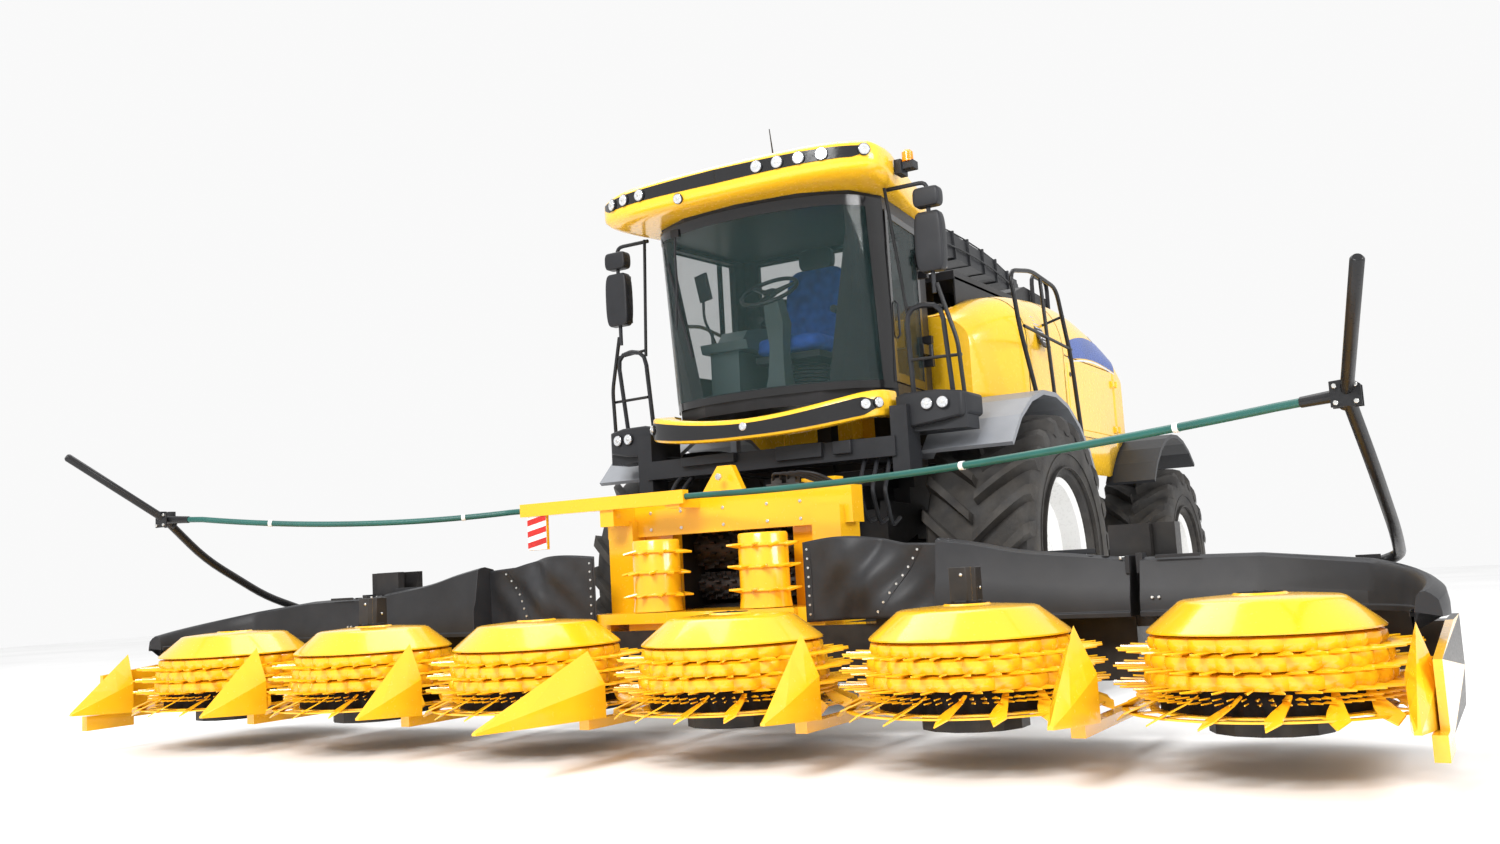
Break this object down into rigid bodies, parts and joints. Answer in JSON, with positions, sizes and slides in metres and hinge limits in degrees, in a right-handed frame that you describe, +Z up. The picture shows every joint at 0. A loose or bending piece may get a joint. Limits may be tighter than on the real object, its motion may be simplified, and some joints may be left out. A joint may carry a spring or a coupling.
{
  "type": "forage harvester",
  "caption": "Self-propelled forage harvester with cab, rear-steered wheels, swinging discharge spout and a folding rotary maize header.",
  "frame": {"origin": "ground level under the middle of the machine's overall length and width", "axes": "+X to the machine's left, +Y to its rear, so it drives towards -Y, +Z up"},
  "size_m": [7.581, 8.05, 3.65],
  "materials": {
    "yellow_paint": "gloss",
    "black_paint": "satin",
    "black_plastic": "matte",
    "grey_plastic": "matte",
    "bare_steel": "worn",
    "tyre": "matte",
    "tinted_glass": "gloss",
    "canvas": "matte",
    "green_hose": "satin",
    "seat_fabric": "matte"
  },
  "bodies": {
    "chassis": {"main_frame": "black_paint", "front_axle": "black_paint", "rear_axle": "black_paint", "engine_block": "black_paint", "cutterhead_housing": "black_paint", "cab_frame": "black_paint", "cab_glazing": "tinted_glass", "cab_roof": "yellow_paint", "cab_interior": "seat_fabric", "bumper": "yellow_paint", "side_platforms": "black_paint", "body_shell": "yellow_paint", "engine_deck": "black_paint", "front_fender_left": "grey_plastic", "front_fender_right": "grey_plastic", "rear_fender_left": "black_plastic", "rear_fender_right": "black_plastic", "mirror_left": "black_paint", "mirror_right": "black_paint"},
    "cab_door": {"cab_door": "tinted_glass"},
    "service_door_left": {"service_door_left": "yellow_paint"},
    "service_door_right": {"service_door_right": "yellow_paint"},
    "spout_turret": {"spout_turret": "black_paint"},
    "spout": {"spout_chute": "black_paint"},
    "spout_flap": {"spout_flap": "black_paint"},
    "lift_cylinder_barrel": {"lift_cylinder_barrel": "bare_steel"},
    "lift_cylinder_rod": {"lift_cylinder_rod": "bare_steel"},
    "knuckle_left": {"steering_knuckle_left": "bare_steel"},
    "knuckle_right": {"steering_knuckle_right": "bare_steel"},
    "front_wheel_left": {"front_wheel_left": "tyre"},
    "front_wheel_right": {"front_wheel_right": "tyre"},
    "rear_wheel_left": {"rear_wheel_left": "tyre"},
    "rear_wheel_right": {"rear_wheel_right": "tyre"},
    "header": {"feeder_housing": "bare_steel", "mouth_frame": "yellow_paint", "centre_frame": "yellow_paint", "canvas_left": "canvas", "canvas_right": "canvas", "guide_hose_left": "green_hose", "guide_hose_right": "green_hose"},
    "feed_roll_upper": {"feed_roll_upper": "bare_steel"},
    "feed_roll_lower": {"feed_roll_lower": "bare_steel"},
    "feed_drum_left": {"feed_drum_left": "yellow_paint"},
    "feed_drum_right": {"feed_drum_right": "yellow_paint"},
    "inner_wing_left": {"inner_wing_left": "yellow_paint", "inner_cover_left": "black_plastic"},
    "inner_wing_right": {"inner_wing_right": "yellow_paint", "inner_cover_right": "black_plastic"},
    "outer_wing_left": {"outer_wing_left": "yellow_paint", "outer_cover_left": "black_plastic"},
    "outer_wing_right": {"outer_wing_right": "yellow_paint", "outer_cover_right": "black_plastic"},
    "guide_post_left": {"guide_post_left": "black_paint"},
    "guide_post_right": {"guide_post_right": "black_paint"},
    "rotor_1": {"rotor_1": "yellow_paint"},
    "rotor_2": {"rotor_2": "yellow_paint"},
    "rotor_3": {"rotor_3": "yellow_paint"},
    "rotor_4": {"rotor_4": "yellow_paint"},
    "rotor_5": {"rotor_5": "yellow_paint"},
    "rotor_6": {"rotor_6": "yellow_paint"}
  },
  "joints": [
    {"name": "front_wheel_left_spin", "type": "hinge", "parent": "chassis", "child": "front_wheel_left", "pos_m": [1.25, -0.235, 0.905], "axis": [1, 0, 0], "continuous": true},
    {"name": "front_wheel_right_spin", "type": "hinge", "parent": "chassis", "child": "front_wheel_right", "pos_m": [-1.25, -0.235, 0.905], "axis": [1, 0, 0], "continuous": true},
    {"name": "steer_left", "type": "hinge", "parent": "chassis", "child": "knuckle_left", "pos_m": [0.88, 2.965, 0.79], "axis": [0, 0, 1], "range_deg": [-40, 40]},
    {"name": "steer_right", "type": "hinge", "parent": "chassis", "child": "knuckle_right", "pos_m": [-0.88, 2.965, 0.79], "axis": [0, 0, 1], "range_deg": [-40, 40]},
    {"name": "rear_wheel_left_spin", "type": "hinge", "parent": "knuckle_left", "child": "rear_wheel_left", "pos_m": [1.3, 2.965, 0.79], "axis": [1, 0, 0], "continuous": true},
    {"name": "rear_wheel_right_spin", "type": "hinge", "parent": "knuckle_right", "child": "rear_wheel_right", "pos_m": [-1.3, 2.965, 0.79], "axis": [1, 0, 0], "continuous": true},
    {"name": "cab_door_hinge", "type": "hinge", "parent": "chassis", "child": "cab_door", "pos_m": [0.775, -0.38, 2.55], "axis": [0, 0, 1], "range_deg": [0, 80]},
    {"name": "service_door_left_hinge", "type": "hinge", "parent": "chassis", "child": "service_door_left", "pos_m": [1.243, 2.415, 2], "axis": [0, 0, 1], "range_deg": [0, 80]},
    {"name": "service_door_right_hinge", "type": "hinge", "parent": "chassis", "child": "service_door_right", "pos_m": [-1.243, 2.415, 2], "axis": [0, 0, -1], "range_deg": [0, 80]},
    {"name": "spout_swing", "type": "hinge", "parent": "chassis", "child": "spout_turret", "pos_m": [0, 0.515, 3], "axis": [0, 0, 1], "range_deg": [-105, 105]},
    {"name": "spout_lift", "type": "hinge", "parent": "spout_turret", "child": "spout", "pos_m": [0, 0.515, 3.2], "axis": [1, 0, 0], "range_deg": [0, 30]},
    {"name": "lift_cylinder_base", "type": "hinge", "parent": "spout_turret", "child": "lift_cylinder_barrel", "pos_m": [0.213, 0.655, 3.09], "axis": [1, 0, 0], "range_deg": [0, 31]},
    {"name": "lift_cylinder_stroke", "type": "slide", "parent": "lift_cylinder_barrel", "child": "lift_cylinder_rod", "axis": [0, 0.8488, 0.5287], "range_m": [0, 0.095]},
    {"name": "spout_flap_tilt", "type": "hinge", "parent": "spout", "child": "spout_flap", "pos_m": [0, 3.465, 3.5], "axis": [1, 0, 0], "range_deg": [-40, 20]},
    {"name": "header_lift", "type": "hinge", "parent": "chassis", "child": "header", "pos_m": [0, -0.355, 1.2], "axis": [-1, 0, 0], "range_deg": [-2.5, 12]},
    {"name": "feed_roll_upper_spin", "type": "hinge", "parent": "header", "child": "feed_roll_upper", "pos_m": [0, -1.475, 1.06], "axis": [1, 0, 0], "continuous": true},
    {"name": "feed_roll_lower_spin", "type": "hinge", "parent": "header", "child": "feed_roll_lower", "pos_m": [0, -1.475, 0.83], "axis": [1, 0, 0], "continuous": true},
    {"name": "feed_drum_left_spin", "type": "hinge", "parent": "header", "child": "feed_drum_left", "pos_m": [0.366, -2.035, 0.9], "axis": [0, 0, 1], "continuous": true},
    {"name": "feed_drum_right_spin", "type": "hinge", "parent": "header", "child": "feed_drum_right", "pos_m": [-0.366, -2.035, 0.9], "axis": [0, 0, 1], "continuous": true},
    {"name": "inner_fold_left", "type": "hinge", "parent": "header", "child": "inner_wing_left", "pos_m": [1.25, -2.055, 0.9], "axis": [0, -1, 0], "range_deg": [0, 72], "deforming": ["canvas_left", "guide_hose_left"]},
    {"name": "outer_fold_left", "type": "hinge", "parent": "inner_wing_left", "child": "outer_wing_left", "pos_m": [2.5, -2.055, 0.98], "axis": [0, -1, 0], "range_deg": [0, 144]},
    {"name": "guide_post_left_turn", "type": "hinge", "parent": "outer_wing_left", "child": "guide_post_left", "pos_m": [3.45, -1.935, 0.78], "axis": [0, -1, 0], "range_deg": [0, 72]},
    {"name": "inner_fold_right", "type": "hinge", "parent": "header", "child": "inner_wing_right", "pos_m": [-1.25, -2.055, 0.9], "axis": [0, 1, 0], "range_deg": [0, 72], "deforming": ["canvas_right", "guide_hose_right"]},
    {"name": "outer_fold_right", "type": "hinge", "parent": "inner_wing_right", "child": "outer_wing_right", "pos_m": [-2.5, -2.055, 0.98], "axis": [0, 1, 0], "range_deg": [0, 144]},
    {"name": "guide_post_right_turn", "type": "hinge", "parent": "outer_wing_right", "child": "guide_post_right", "pos_m": [-3.45, -1.935, 0.78], "axis": [0, 1, 0], "range_deg": [0, 72]},
    {"name": "rotor_1_spin", "type": "hinge", "parent": "outer_wing_right", "child": "rotor_1", "pos_m": [-3.125, -2.835, 0.48], "axis": [0, 0, 1], "continuous": true},
    {"name": "rotor_2_spin", "type": "hinge", "parent": "inner_wing_right", "child": "rotor_2", "pos_m": [-1.875, -2.835, 0.48], "axis": [0, 0, 1], "continuous": true},
    {"name": "rotor_3_spin", "type": "hinge", "parent": "header", "child": "rotor_3", "pos_m": [-0.625, -2.835, 0.48], "axis": [0, 0, 1], "continuous": true},
    {"name": "rotor_4_spin", "type": "hinge", "parent": "header", "child": "rotor_4", "pos_m": [0.625, -2.835, 0.48], "axis": [0, 0, 1], "continuous": true},
    {"name": "rotor_5_spin", "type": "hinge", "parent": "inner_wing_left", "child": "rotor_5", "pos_m": [1.875, -2.835, 0.48], "axis": [0, 0, 1], "continuous": true},
    {"name": "rotor_6_spin", "type": "hinge", "parent": "outer_wing_left", "child": "rotor_6", "pos_m": [3.125, -2.835, 0.48], "axis": [0, 0, 1], "continuous": true}
  ],
  "couplings": [
    {"joint": "steer_right", "follows": "steer_left", "ratio": 1},
    {"joint": "lift_cylinder_base", "follows": "spout_lift", "ratio": 1.03},
    {"joint": "lift_cylinder_stroke", "follows": "spout_lift", "m_per_rad": 0.1745},
    {"joint": "outer_fold_left", "follows": "inner_fold_left", "ratio": 2},
    {"joint": "guide_post_left_turn", "follows": "inner_fold_left", "ratio": 1},
    {"joint": "outer_fold_right", "follows": "inner_fold_right", "ratio": 2},
    {"joint": "guide_post_right_turn", "follows": "inner_fold_right", "ratio": 1}
  ]
}
